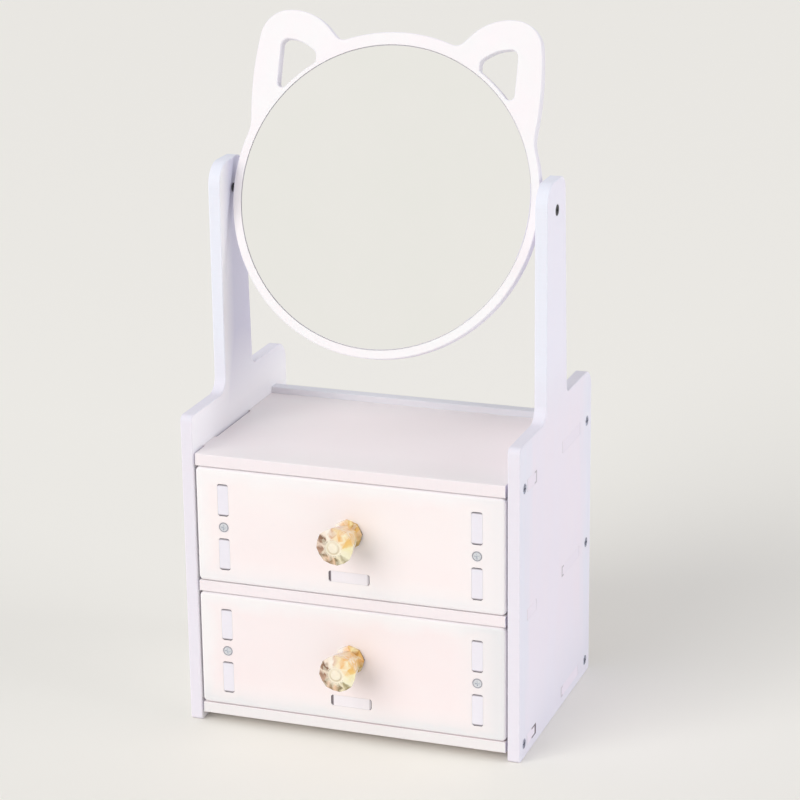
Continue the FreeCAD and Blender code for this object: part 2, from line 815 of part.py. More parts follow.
def drawer(prefix, bay):
    drawer_front(prefix + "_drawer_front", bay)
    drawer_side(prefix + "_drawer_left_side", bay, -1)
    drawer_side(prefix + "_drawer_right_side", bay, 1)
    drawer_back(prefix + "_drawer_back", bay)
    drawer_bottom(prefix + "_drawer_bottom", bay)
    drawer_screws(prefix + "_drawer_screws", bay)
    knob_base(prefix + "_knob_base", bay)
    knob(prefix + "_knob", bay)
    knob_screw(prefix + "_knob_screw", bay)


# ---------------------------------------------------------------- mirror

def polar_point(centre, radius, angle):
    return centre[0] + radius * cosine(angle), centre[1] + radius * sine(angle)


def far_point(centre, radius, up):
    """Right-hand point of a circle at a given height."""
    return centre[0] + root_of(radius * radius - (up - centre[1]) * (up - centre[1]))


def ear_tip():
    """Centre of the right ear's round tip."""
    return polar_point((as_size(0), as_size(0)), mirror_radius + size("ear_tip_out"), size("ear_tip_angle"))


# the part of an ear's outline that lies inside the ring, as shares of the ring's radius
HIDDEN_DEPTH = 0.2
HIDDEN_LOW = 0.15
HIDDEN_HEART = 0.5


def ear_outline(sketch):
    """Right ear: a bowed side, a round tip and a crown that runs back into the ring."""
    tip = ear_tip()
    tip_radius, side_radius = size("ear_tip_radius"), size("ear_side_radius")
    crown_radius = size("ear_crown_radius")
    apart = side_radius - tip_radius
    drop = size("ear_side_drop")
    side_centre = (tip[0] - root_of(apart * apart - drop * drop), tip[1] - drop)
    side_join = (tip[0] + (tip[0] - side_centre[0]) * tip_radius / apart, tip[1] + drop * tip_radius / apart)
    crown_join = polar_point(tip, tip_radius, size("ear_crown_start"))
    crown_centre = polar_point(tip, tip_radius - crown_radius, size("ear_crown_start"))
    crown_end = polar_point(crown_centre, crown_radius, size("ear_crown_end"))
    into_ring = mirror_radius * HIDDEN_DEPTH
    root = (crown_end[0] - into_ring, crown_end[1] - into_ring)
    low = mirror_radius * HIDDEN_LOW
    heart = (mirror_radius * HIDDEN_HEART, low)
    side_start = (far_point(side_centre, side_radius, low), low)
    draw_loop(sketch, [side_start, side_join, crown_join, crown_end, root, heart],
              {0: (side_centre, side_radius, 1), 1: (tip, tip_radius, 1), 2: (crown_centre, crown_radius, 1)})


def window_outline(sketch):
    """Window in the right ear, which follows the glass below. Returns its corners, outer low one first."""
    tip = ear_tip()
    axis = (as_size(0), as_size(0))
    ring = glass_radius + size("window_ring")
    outer, inner = tip[0] + size("window_out"), tip[0] - size("window_in")
    corners = [(outer, root_of(ring * ring - outer * outer)), (outer, tip[1] + size("window_rise")),
               (inner, tip[1] - size("window_fall")), (inner, root_of(ring * ring - inner * inner))]
    crown = size("window_crown")
    across, rise = corners[1][0] - corners[2][0], corners[1][1] - corners[2][1]
    half_chord = root_of(across * across + rise * rise) / 2
    sag = root_of(crown * crown - half_chord * half_chord) / (half_chord * 2)
    middle = ((corners[1][0] + corners[2][0]) / 2, (corners[1][1] + corners[2][1]) / 2)
    centre = (middle[0] + rise * sag, middle[1] - across * sag)
    draw_loop(sketch, corners, {1: (centre, crown, 1), 3: (axis, ring, -1)})
    return corners


def brow_outline(sketch):
    """Sector that widens the ring between the ears."""
    lean = size("ear_tip_angle")
    axis = (as_size(0), as_size(0))
    ends = [polar_point(axis, brow_radius, angle) for angle in (lean, as_size(180) - lean)]
    draw_loop(sketch, [axis] + ends, {1: (axis, brow_radius, 1)})


def mirror_board():
    """Cat-ear board that holds the round glass in a shallow recess."""
    body = mirror_body("mirror_board")
    thick = size("mirror_board")
    disc = new_sketch(body, "XZ_Plane", mirror_front)
    draw_circle(disc, 0, 0, mirror_radius)
    pad(body, disc, thick, -1)
    brow = new_sketch(body, "XZ_Plane", mirror_front)
    brow_outline(brow)
    pad(body, brow, thick, -1)
    ear = new_sketch(body, "XZ_Plane", mirror_front)
    ear_outline(ear)
    ear_pad = pad(body, ear, thick, -1)
    window = new_sketch(body, "XZ_Plane", mirror_front)
    corners = window_outline(window)
    window_cut = pocket(body, window)
    pair = body.newObject("PartDesign::Mirrored", "mirror_board_pair")
    pair.Originals = [ear_pad, window_cut]
    pair.MirrorPlane = (ear, ["V_Axis"])
    body.Tip = pair
    document.recompute()

    for alias, spots in (("window_corner", [corners[0], corners[3]]), ("window_round", corners[1:3])):
        dress(body, "Fillet", edges_through(body, "y", spots + mirrored(spots)), size(alias))
    dress(body, "Fillet", root_edges(body, brow_radius), size("ear_root_round"))
    dress(body, "Fillet", root_edges(body, mirror_radius), size("ear_side_root_round"))
    rims = edges_in_plane(body, "y", -mirror_front) + edges_in_plane(body, "y", size("pivot_to_back"))
    dress(body, "Chamfer", rims, size("edge_bevel"))
    recess = new_sketch(body, "XZ_Plane", mirror_front)
    draw_circle(recess, 0, 0, glass_radius + size("glass_fit"))
    pocket(body, recess, size("glass_thick") - size("glass_proud"), -1)
    hole_depth = size("pivot_length") - side_board - size("mirror_clear")
    for side in (-1, 1):
        drill(body, "YZ_Plane", side * mirror_radius, [(as_size(0), as_size(0))],
              size("pivot_shank") + size("screw_fit"), hole_depth, -side)


def root_edges(body, radius):
    """Edges through the board where an ear's outline meets a circle round the pivot axis."""
    def test(edge):
        ends = [vertex.Point for vertex in edge.Vertexes]
        if len(ends) != 2 or close(ends[0].y, ends[1].y) or not close(ends[0].x, ends[1].x):
            return False
        on_circle = abs(math.hypot(ends[0].x, ends[0].z) - radius.value) < 0.01
        return on_circle and ends[0].z > HIDDEN_LOW * radius.value

    return edges_where(body, test)


def mirror_glass():
    body = mirror_body("mirror_glass")
    disc = new_sketch(body, "XZ_Plane", mirror_front + size("glass_proud"))
    draw_circle(disc, 0, 0, glass_radius)
    pad(body, disc, size("glass_thick"), -1)


def mirror_pivots():
    """Screws through the posts into the board's edge, with spacers between."""
    screws = mirror_body("pivot_screws")
    washers = mirror_body("pivot_washers")
    for side in (-1, 1):
        fasteners(screws, "YZ_Plane", side * half, [(as_size(0), as_size(0))], -side,
                  size("pivot_head"), size("pivot_shank"), size("pivot_length"))
        ring = new_sketch(washers, "YZ_Plane", side * mirror_radius)
        draw_circle(ring, 0, 0, size("washer_radius"))
        draw_circle(ring, 0, 0, size("pivot_shank") + size("screw_fit"))
        pad(washers, ring, size("washer_thick"), side)


# ---------------------------------------------------------------- build and export

cabinet()
drawer("upper", upper_bay)
drawer("lower", lower_bay)
mirror_board()
mirror_glass()
mirror_pivots()
document.recompute()

for item in document.Objects:
    if "Invalid" in item.State or "Error" in item.State:
        raise RuntimeError("%s did not rebuild: %s" % (item.Name, item.State))

nodes = [item for item in document.Objects if item.TypeId == "PartDesign::Body"]
for node in nodes:
    if node.Shape.isNull() or not node.Shape.isValid() or not node.Shape.Solids:
        raise RuntimeError(node.Label + " has no valid shape")

os.makedirs("parts", exist_ok=True)
for node in nodes:
    node.Shape.exportStep("parts/%s.step" % node.Label)
print("%d nodes written" % len(nodes))
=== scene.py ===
import math

import bmesh
import bpy
from mathutils import Matrix, Vector

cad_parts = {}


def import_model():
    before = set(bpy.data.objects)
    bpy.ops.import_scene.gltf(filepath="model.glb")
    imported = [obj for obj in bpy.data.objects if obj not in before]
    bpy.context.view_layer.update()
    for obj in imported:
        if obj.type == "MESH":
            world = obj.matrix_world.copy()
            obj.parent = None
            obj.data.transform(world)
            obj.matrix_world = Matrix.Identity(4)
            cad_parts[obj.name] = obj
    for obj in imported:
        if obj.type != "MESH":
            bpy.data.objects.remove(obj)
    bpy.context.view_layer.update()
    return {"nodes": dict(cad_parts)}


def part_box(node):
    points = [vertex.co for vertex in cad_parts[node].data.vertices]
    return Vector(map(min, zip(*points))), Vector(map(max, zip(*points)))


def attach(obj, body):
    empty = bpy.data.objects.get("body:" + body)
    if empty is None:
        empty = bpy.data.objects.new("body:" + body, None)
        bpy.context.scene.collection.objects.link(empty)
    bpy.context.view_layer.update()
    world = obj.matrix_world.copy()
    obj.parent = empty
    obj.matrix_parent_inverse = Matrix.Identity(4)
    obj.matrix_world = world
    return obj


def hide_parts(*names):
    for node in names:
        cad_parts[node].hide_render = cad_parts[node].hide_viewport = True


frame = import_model()
NODES = frame["nodes"]
TAU = 2 * math.pi
MM = 0.001
X_AXIS = (1.0, 0.0, 0.0)
Y_AXIS = (0.0, 1.0, 0.0)
Z_AXIS = (0.0, 0.0, 1.0)


def rgb(*values):
    """An opaque colour."""
    return (*values, 1)


def add_object(name, data):
    """A new object in the scene that shows the given data."""
    made = bpy.data.objects.new(name, data)
    bpy.context.scene.collection.objects.link(made)
    return made


def mesh_from(name, bm):
    """A mesh of what bm holds. It frees bm."""
    mesh = bpy.data.meshes.new(name)
    bm.to_mesh(mesh)
    bm.free()
    return mesh


# ---------------------------------------------------------------- camera
CAMERA_PLACE = Vector((0.7041, -1.9299, 0.9156))
CAMERA_YAW = math.radians(19.66)
CAMERA_PITCH = math.radians(17.685)
CAMERA_ROLL = math.radians(-0.7)
CAMERA_FAR = 60
SENSOR_WIDTH = 36
FOCAL_PIXELS = 2701.6
FRAME_PIXELS = 800


def add_camera():
    """Camera at the photograph's angle, fitted to the straight edges of the cabinet."""
    back = Vector((math.sin(CAMERA_YAW) * math.cos(CAMERA_PITCH),
                   -math.cos(CAMERA_YAW) * math.cos(CAMERA_PITCH), math.sin(CAMERA_PITCH)))
    right = Vector((math.cos(CAMERA_YAW), math.sin(CAMERA_YAW), 0))
    up = back.cross(right)
    turned_right = right * math.cos(CAMERA_ROLL) + up * math.sin(CAMERA_ROLL)
    turned_up = up * math.cos(CAMERA_ROLL) - right * math.sin(CAMERA_ROLL)
    data = bpy.data.cameras.new("camera")
    data.sensor_width = SENSOR_WIDTH
    data.lens = SENSOR_WIDTH * (FOCAL_PIXELS / FRAME_PIXELS)
    data.clip_end = CAMERA_FAR
    camera = add_object("camera", data)
    turn = Matrix((turned_right, turned_up, back)).transposed()
    camera.matrix_world = Matrix.Translation(CAMERA_PLACE) @ turn.to_4x4()
    bpy.context.scene.camera = camera


add_camera()

# ---------------------------------------------------------------- node helpers
# most of a noise texture's values lie between these two
NOISE_LOW = 0.3
NOISE_HIGH = 0.7
# the colour sockets of a mix node, which share their names with its other sockets
MIX_FACTOR = 0
MIX_FIRST = 6
MIX_SECOND = 7
MIX_RESULT = 2


class Tree:
    """Short calls for building the nodes of one material or world."""

    def __init__(self, owner, output_kind):
        owner.use_nodes = True
        self.owner = owner
        self.nodes = owner.node_tree.nodes
        self.links = owner.node_tree.links
        self.nodes.clear()
        self.output = self.nodes.new(output_kind)

    def add(self, kind, inputs=None, **settings):
        """A new node. inputs holds a link or a value for each input, by name or number."""
        node = self.nodes.new(kind)
        for key, value in settings.items():
            setattr(node, key, value)
        for key, value in (inputs or {}).items():
            self.put(node, key, value)
        return node

    def put(self, node, key, value):
        """Link or set one input."""
        socket = node.inputs[key]
        if isinstance(value, bpy.types.NodeSocket):
            self.links.new(value, socket)
        else:
            socket.default_value = value

    def math(self, operation, a, b=0.0):
        return self.add("ShaderNodeMath", {0: a, 1: b}, operation=operation).outputs[0]

    def unsigned(self, value):
        """The value without its sign."""
        return self.math("ABSOLUTE", value)

    def minus(self, a, b):
        return self.math("SUBTRACT", a, b)

    def times(self, a, b):
        return self.math("MULTIPLY", a, b)

    def most(self, a, b):
        return self.math("MAXIMUM", a, b)

    def fold(self, operation, values):
        """One value from many, such as their MINIMUM."""
        total = values[0]
        for value in values[1:]:
            total = self.math(operation, total, value)
        return total

    def distance(self, a, b):
        """Distance from an axis of a point that lies a and b to its sides."""
        return self.math("SQRT", self.math("ADD", self.times(a, a), self.times(b, b)))

    def split(self, vector):
        """The outputs X, Y and Z of a vector."""
        return self.add("ShaderNodeSeparateXYZ", {0: vector}).outputs

    def ramp(self, value, stops):
        """Colour ramp that runs straight from stop to stop, each a place and a colour."""
        node = self.add("ShaderNodeValToRGB", {"Fac": value})
        node.color_ramp.interpolation = "LINEAR"
        elements = node.color_ramp.elements
        while len(elements) < len(stops):
            # its own place comes below
            elements.new(0.5)
        for element, (place, colour) in zip(elements, stops):
            element.position = place
            element.color = rgb(*colour)
        return node.outputs["Color"]

    def span(self, value, low, high, to_low=0.0, to_high=1.0):
        """The value's way from low to high, clamped, as one from to_low to to_high."""
        return self.add("ShaderNodeMapRange", {"Value": value, "From Min": low, "From Max": high,
                                               "To Min": to_low, "To Max": to_high}).outputs["Result"]

    def mix(self, factor, a, b):
        """Colour a where the factor is 0 and b where it is 1."""
        node = self.add("ShaderNodeMix", data_type="RGBA")
        self.put(node, MIX_FACTOR, factor)
        self.put(node, MIX_FIRST, a)
        self.put(node, MIX_SECOND, b)
        return node.outputs[MIX_RESULT]

    def noise(self, coordinates, scale, detail=3.0, roughness=0.5):
        return self.add("ShaderNodeTexNoise", {"Vector": coordinates, "Scale": scale, "Detail": detail,
                                               "Roughness": roughness}).outputs["Fac"]

    def wander(self, coordinates, scale, detail, low, high, roughness=0.5):
        """Noise that is held between low and high."""
        noise = self.noise(coordinates, scale, detail, roughness)
        return self.span(noise, NOISE_LOW, NOISE_HIGH, low, high)

    def stretch(self, coordinates, factors):
        """Coordinates with x, y and z each times its factor."""
        return self.add("ShaderNodeVectorMath", {0: coordinates, 1: factors},
                        operation="MULTIPLY").outputs[0]

    def bump(self, height, strength, distance, normal=None):
        """A normal that follows the height, on top of another normal if one is given."""
        inputs = {"Height": height, "Strength": strength, "Distance": distance}
        if normal is not None:
            inputs["Normal"] = normal
        return self.add("ShaderNodeBump", inputs).outputs["Normal"]

    def show(self, shader):
        self.links.new(shader.outputs[0], self.output.inputs["Surface"])

    def finish(self, inputs):
        """The material, with a principled shader that takes these inputs."""
        self.show(self.add("ShaderNodeBsdfPrincipled", inputs))
        return self.owner


def material_tree(name):
    return Tree(bpy.data.materials.new(name), "ShaderNodeOutputMaterial")


def paint(names, material):
    """Give CAD nodes their material."""
    for name in names:
        mesh = NODES[name].data
        mesh.materials.clear()
        mesh.materials.append(material)


# ---------------------------------------------------------------- boards
# a face's normal lies this close along the thickness, and a sawn edge's no closer than the second
ALONG_THICKNESS = 0.995
OFF_THICKNESS = 0.60
# dark tone painted as shade on sawn edges in the gaps at tab and tenon ends
GAP_SHADE_TONE = rgb(0.13, 0.10, 0.12)
DUST = rgb(0.84, 0.80, 0.82)
DUST_SHARE = 0.18
SAWN_MARK = rgb(0.70, 0.67, 0.70)
SAWN_MARK_SHARE = 0.10
SAWN_ROUGHER = 0.14
# cutter marks on sawn edges, per metre through the board and along the edge
MARKS_THROUGH = 60.0
MARKS_ALONG = 900.0
# between these heights a side panel narrows into its post
POST_FROM = 0.245
POST_TO = 0.305
# clouds of tint per metre along x, y and z
EVEN_BANDS = (13.0, 13.0, 13.0)
FRONT_BANDS = (8.0, 13.0, 14.0)
PANEL_BANDS = (13.0, 26.0, 5.0)
EAR_BANDS = (22.0, 22.0, 22.0)


def board(name, thickness_axis, face, cloud, cut, end=None, bands=EVEN_BANDS, accent=None, gap_shade=None,
          high_cut=None):
    """White foamed board: smooth faces with a faint tint, and duller sawn edges with fine cutter marks.

    cloud is the colour of the clouds on the faces, and bands stretches them. cut is the colour of sawn
    edges, end that of those that face along x, such as tenon ends in a side panel, and high_cut that of
    those up on a post. accent(tree, place) gives a share and a colour laid over the faces, such as painted
    light or shade, and the gap-shade function (tree, place, facing) gives the share of each sawn edge that
    is painted dark as shade where it lines a gap.
    """
    tree = material_tree(name)
    space = tree.add("ShaderNodeTexCoord").outputs
    place, normal = space["Object"], space["Normal"]
    facing = tree.split(normal)
    through = tree.add("ShaderNodeVectorMath", {0: normal, 1: thickness_axis},
                       operation="DOT_PRODUCT").outputs["Value"]
    edge = tree.span(tree.unsigned(through), ALONG_THICKNESS, OFF_THICKNESS)

    cloudy = tree.noise(tree.stretch(place, bands), scale=1.0, detail=4.0, roughness=0.55)
    cloudy = tree.span(cloudy, low=0.38, high=0.62)
    tint = tree.mix(cloudy, face, cloud)
    if accent is not None:
        share, shade = accent(tree, place)
        tint = tree.mix(share, tint, shade)
    dusty = tree.span(tree.noise(place, scale=230.0, detail=2.0), low=0.62, high=0.80)
    tint = tree.mix(tree.times(dusty, DUST_SHARE), tint, DUST)

    streaks = tuple(MARKS_THROUGH if abs(axis) > 0.5 else MARKS_ALONG for axis in thickness_axis)
    marks = tree.noise(tree.stretch(place, streaks), scale=1.0, detail=2.0, roughness=0.6)
    if high_cut is not None:
        cut = tree.mix(tree.span(tree.split(place)["Z"], POST_FROM, POST_TO), cut, high_cut)
    if end is not None:
        cut = tree.mix(tree.span(tree.unsigned(facing["X"]), 0.6, 0.9), cut, end)
    sawn = tree.mix(tree.span(marks, 0.2, 0.8, to_high=SAWN_MARK_SHARE), cut, SAWN_MARK)
    # painted shade: sawn edges that line the gaps round tab and tenon ends are darkened
    if gap_shade is not None:
        sawn = tree.mix(gap_shade(tree, place, facing), sawn, GAP_SHADE_TONE)

    ripple = tree.noise(place, scale=38.0, detail=2.0)
    grain = tree.noise(place, scale=1500.0, detail=2.0, roughness=0.7)
    rough = tree.wander(place, scale=60.0, detail=3.0, low=0.36, high=0.46)
    rough = tree.math("ADD", rough, tree.times(edge, SAWN_ROUGHER))
    bump = tree.bump(ripple, strength=0.10, distance=0.30 * MM)
    bump = tree.bump(grain, strength=0.08, distance=0.08 * MM, normal=bump)
    bump = tree.bump(tree.times(marks, edge), strength=0.25, distance=0.10 * MM, normal=bump)
    return tree.finish({"Base Color": tree.mix(edge, tint, sawn), "Roughness": rough, "Normal": bump,
                        "IOR": 1.47, "Subsurface Weight": 0.06, "Subsurface Radius": (1.0, 0.75, 0.75),
                        "Subsurface Scale": 0.002})


def inset(tree, place, low, high, axes):
    """Distance of a point from the nearest side of a box, along the given axes."""
    parts = tree.split(place)
    gaps = []
    for axis in axes:
        index = "XYZ".index(axis)
        gaps += [tree.minus(parts[axis], low[index]), tree.minus(high[index], parts[axis])]
    return tree.fold("MINIMUM", gaps)


# the strongest shares of the tints and painted shade laid over the faces
RIM_SHARE = 0.9
BELOW_SHARE = 0.8
DIM_SHARE = 0.8
ENDS_SHARE = 0.9
FOOT_SHADE_SHARE = 0.8


def white_border_and_shade(low, high, pale, shade_tone):
    """Whiter towards the rounded rim of a drawer front, and greyer below and on the right as painted shade.
    """
    def accent(tree, place):
        spot = tree.split(place)
        wave = tree.wander(place, scale=45.0, detail=3.0, low=-3.0 * MM, high=3.0 * MM)
        gap = tree.math("ADD", inset(tree, place, low, high, "XZ"), wave)
        rim = tree.span(gap, 15.0 * MM, 4.0 * MM, to_high=RIM_SHARE)
        right = tree.span(spot["X"], high.x - 45.0 * MM, high.x - 8.0 * MM)
        below = tree.span(spot["Z"], low.z + 22.0 * MM, low.z + 6.0 * MM, to_high=BELOW_SHARE)
        dim = tree.most(right, below)
        return tree.most(rim, tree.times(dim, DIM_SHARE)), tree.mix(dim, pale, shade_tone)
    return accent


def shelf_light_and_shade(tree, place):
    """Painted light and shade: warmer and paler on the open part of a shelf than beside the left panel and
    at the rear, which stay darker as shade.
    """
    spot = tree.split(place)
    wave = tree.wander(place, scale=9.0, detail=2.0, low=-12.0 * MM, high=12.0 * MM)
    across = tree.span(tree.math("ADD", spot["X"], wave), -120.0 * MM, -40.0 * MM)
    back = tree.span(tree.math("ADD", spot["Y"], wave), 95.0 * MM, 45.0 * MM)
    front = tree.span(spot["Y"], -82.0 * MM, -40.0 * MM, to_low=0.35)
    return tree.times(tree.times(across, back), front), LIT_SHELF_MIDDLE


def right_paint_and_shade(low, high):
    """Cooler paint along the right side panel's ends and on its post, and painted shade that greys it near
    the floor.
    """
    def accent(tree, place):
        long_clouds = tree.stretch(place, (20.0, 60.0, 8.0))
        wave = tree.wander(long_clouds, scale=1.0, detail=3.0, low=-9.0 * MM, high=9.0 * MM)
        gap = tree.math("ADD", inset(tree, place, low, high, "Y"), wave)
        ends = tree.span(gap, 34.0 * MM, 12.0 * MM, to_high=ENDS_SHARE)
        level = tree.split(place)["Z"]
        post = tree.span(level, POST_FROM, POST_TO)
        foot = tree.span(level, 85.0 * MM, 10.0 * MM, to_high=FOOT_SHADE_SHARE)
        shade = tree.mix(foot, tree.mix(post, PEARL, POST_PAINT), FOOT_SHADE)
        return tree.fold("MAXIMUM", [ends, post, foot]), shade
    return accent


def left_lit_lip(tree, place):
    """Painted light: paler on the left side panel's lip and along the front of its post than on the rest of
    its faces, which are darker as painted shade.
    """
    spot = tree.split(place)
    lip = tree.span(spot["Z"], POST_TO, POST_FROM)
    front = tree.span(spot["Y"], 9.0 * MM, -9.0 * MM)
    return tree.most(lip, front), LIT_LIP


def mortise_ends(low, high):
    """Painted shade at the ends of a drawer front's mortises: upright ones near its sides, a level one in
    the middle.
    """
    def gap_shade(tree, place, facing):
        beside = tree.span(tree.unsigned(tree.split(place)["X"]), 60.0 * MM, 70.0 * MM)
        across, up = [tree.span(tree.unsigned(facing[axis]), 0.75, 0.95) for axis in "XZ"]
        end = tree.math("ADD", tree.times(up, beside), tree.times(across, tree.minus(1.0, beside)))
        inner = tree.span(inset(tree, place, low, high, "XZ"), 7.0 * MM, 9.0 * MM)
        return tree.times(inner, end)
    return gap_shade


def tab_ends(axis, middle, offsets, shares, rear, width):
    """Painted shade at the ends of the tabs that show in a drawer front, at the given offsets on both sides
    of a middle.

    shares holds how dark the painted shade is on the low and on the high side, rear is the y of the front's
    rear face, and width says how far it reaches from the ends.
    """
    def gap_shade(tree, place, facing):
        spot = tree.split(place)
        along = tree.minus(spot[axis], middle)
        reach = tree.unsigned(along)
        nearest = tree.fold("MINIMUM", [tree.unsigned(tree.minus(reach, offset)) for offset in offsets])
        mark = tree.span(nearest, width, width - 0.5 * MM)
        side = tree.span(along, -1.0 * MM, 1.0 * MM, *shares)
        within = tree.span(spot["Y"], rear, rear - 1.0 * MM)
        return tree.times(tree.times(mark, side), within)
    return gap_shade


def tenon_end_shade(low, high, marks):
    """Painted shade at the ends of a shelf's tenons where they show in the right side panel, each a square
    bracket.

    marks holds, for each end, its place along y, the side on which the tenon lies, how dark its painted
    shade is, how wide its upright line is and how far its two arms reach.
    """
    def gap_shade(tree, place, facing):
        spot = tree.split(place)
        rim = tree.span(inset(tree, place, low, high, "Z"), 1.5 * MM, 1.1 * MM)
        outside = tree.times(tree.span(spot["X"], high.x - 1.0 * MM, high.x - 0.5 * MM),
                             tree.span(facing["X"], 0.7, 0.9))
        brackets = []
        for end, side, share, wide, arm in marks:
            away = tree.times(tree.minus(spot["Y"], end), side)
            arms = tree.times(rim, tree.span(away, arm, arm - 1.0 * MM))
            line = tree.most(tree.span(away, wide, wide - 0.5 * MM), arms)
            brackets.append(tree.times(line, tree.span(away, -1.5 * MM, -1.0 * MM, to_high=share)))
        return tree.times(tree.fold("MAXIMUM", brackets), outside)
    return gap_shade


CREAM = rgb(0.938, 0.870, 0.862)
BLUSH = rgb(0.942, 0.848, 0.846)
# the dim colours are dimmer copies of the upper drawer front's colours for the lower one: painted shade
DIM_CREAM = rgb(0.915, 0.836, 0.836)
DIM_BLUSH = rgb(0.922, 0.822, 0.824)
BORDER = rgb(0.925, 0.900, 0.900)
# the grey borders here are painted shade below and on the right of a drawer front
SHADE_BORDER = rgb(0.868, 0.845, 0.858)
DIM_BORDER = rgb(0.905, 0.880, 0.880)
DIM_SHADE_BORDER = rgb(0.788, 0.792, 0.806)
FRONT_CUT = rgb(0.915, 0.870, 0.900)
ROSE = rgb(0.900, 0.832, 0.925)
LILAC = rgb(0.820, 0.785, 0.860)
PEARL = rgb(0.838, 0.842, 0.950)
POST_CUT = rgb(0.820, 0.840, 0.925)
POST_PAINT = rgb(0.890, 0.872, 0.985)
# painted shade near the floor on the right side panel
FOOT_SHADE = rgb(0.795, 0.785, 0.885)
# paler colour painted as light on the left panel's lip and post front
LIT_LIP = rgb(0.975, 0.965, 0.998)
# painted light on the open middle of a shelf
LIT_SHELF_MIDDLE = rgb(0.985, 0.905, 0.910)
TENON_END = rgb(0.893, 0.832, 0.932)
# the mirror board leans back, and its thickness runs along this axis
LEAN = math.radians(19)
MIRROR_AXIS = (0.0, -math.cos(LEAN), math.sin(LEAN))

# the left panel's faces are painted a dark blue-grey as shade; its accent paints a paler, lit colour on the
# lip and along the front of the post
paint(["left_side_panel"],
      board("left_board", X_AXIS, face=rgb(0.690, 0.688, 0.820), cloud=rgb(0.675, 0.665, 0.800), cut=LILAC,
            bands=PANEL_BANDS, accent=left_lit_lip, high_cut=POST_CUT))
paint(["right_side_panel"],
      board("right_board", X_AXIS, face=ROSE, cloud=rgb(0.888, 0.836, 0.940), cut=LILAC,
            bands=PANEL_BANDS, accent=right_paint_and_shade(*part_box("right_side_panel")), high_cut=POST_CUT))
paint(["back_panel", "upper_drawer_back", "lower_drawer_back"],
      board("upright_board", Y_AXIS, face=CREAM, cloud=BLUSH, cut=FRONT_CUT, bands=FRONT_BANDS))
# the rear rail is painted greyer than the other boards, as shade
paint(["rear_rail"],
      board("rail_board", Y_AXIS, face=rgb(0.80, 0.81, 0.85), cloud=rgb(0.82, 0.80, 0.83),
            cut=rgb(0.82, 0.83, 0.88)))
paint(["mirror_board"],
      board("ear_board", MIRROR_AXIS, face=rgb(0.888, 0.878, 0.882), cloud=rgb(0.905, 0.862, 0.880),
            cut=rgb(0.86, 0.84, 0.90), bands=EAR_BANDS))

# shelves: the colours of their faces, clouds and sawn edges, and the painted shade marks at their tenons'
# ends
FRONT_TENON_END = -39.0 * MM
REAR_TENON_START = 33.0 * MM
FAINT_MARK = (2.0 * MM, 6.0 * MM)
BOLD_MARK = (3.6 * MM, 12.0 * MM)
SHELF_COLOURS = (rgb(0.900, 0.870, 0.862), rgb(0.910, 0.850, 0.852), rgb(0.905, 0.832, 0.852))
BOTTOM_COLOURS = (rgb(0.915, 0.845, 0.848), rgb(0.925, 0.822, 0.832), rgb(0.848, 0.820, 0.822))
SHELVES = (
    ("top_shelf", SHELF_COLOURS, ((FRONT_TENON_END, -1, 0.45, *FAINT_MARK),)),
    ("middle_shelf", SHELF_COLOURS, ((REAR_TENON_START, 1, 0.45, *FAINT_MARK),)),
    ("bottom_board", BOTTOM_COLOURS, ((FRONT_TENON_END, -1, 1.0, *BOLD_MARK),
                                      (REAR_TENON_START, 1, 0.3, *FAINT_MARK))),
)
for name, colours, marks in SHELVES:
    paint([name], board(name + "_board", Z_AXIS, *colours, end=TENON_END, accent=shelf_light_and_shade,
                        gap_shade=tenon_end_shade(*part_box(name), marks)))

# drawers: the tabs' ends, darkened as painted shade, lie this far from their screws' height and from the
# middle
SIDE_TAB_ENDS = (10.0 * MM, 35.6 * MM)
SIDE_TAB_SHARES = (0.60, 0.60)
FLOOR_TAB_ENDS = (16.5 * MM,)
FLOOR_TAB_SHARES = (0.90, 0.30)
SIDE_MARK_WIDTH = 1.1 * MM
FLOOR_MARK_WIDTH = 1.7 * MM
# the lower drawer takes the dim colours as painted shade
DRAWERS = (("upper", CREAM, BLUSH, BORDER, SHADE_BORDER),
           ("lower", DIM_CREAM, DIM_BLUSH, DIM_BORDER, DIM_SHADE_BORDER))
for prefix, face, cloud, pale, shade_tone in DRAWERS:
    low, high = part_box(prefix + "_drawer_front")
    screws_low, screws_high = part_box(prefix + "_drawer_screws")
    screw_level = (screws_low.z + screws_high.z) / 2
    side_ends = tab_ends("Z", screw_level, SIDE_TAB_ENDS, SIDE_TAB_SHARES, high.y, SIDE_MARK_WIDTH)
    floor_ends = tab_ends("X", 0.0, FLOOR_TAB_ENDS, FLOOR_TAB_SHARES, high.y, FLOOR_MARK_WIDTH)
    paint([prefix + "_drawer_front"],
          board(prefix + "_front_board", Y_AXIS, face, cloud, FRONT_CUT, bands=FRONT_BANDS,
                accent=white_border_and_shade(low, high, pale, shade_tone), gap_shade=mortise_ends(low, high)))
    paint([prefix + "_drawer_left_side", prefix + "_drawer_right_side"],
          board(prefix + "_box_board", X_AXIS, face=rgb(0.90, 0.86, 0.87), cloud=rgb(0.90, 0.84, 0.85),
                cut=rgb(0.838, 0.812, 0.880), gap_shade=side_ends))
    paint([prefix + "_drawer_bottom"],
          board(prefix + "_floor_board", Z_AXIS, face=rgb(0.915, 0.835, 0.838),
                cloud=rgb(0.925, 0.812, 0.822), cut=rgb(0.880, 0.835, 0.870), end=PEARL, gap_shade=floor_ends))


# ---------------------------------------------------------------- metal and rubber
HEAD_RIM = rgb(0.42, 0.42, 0.48)


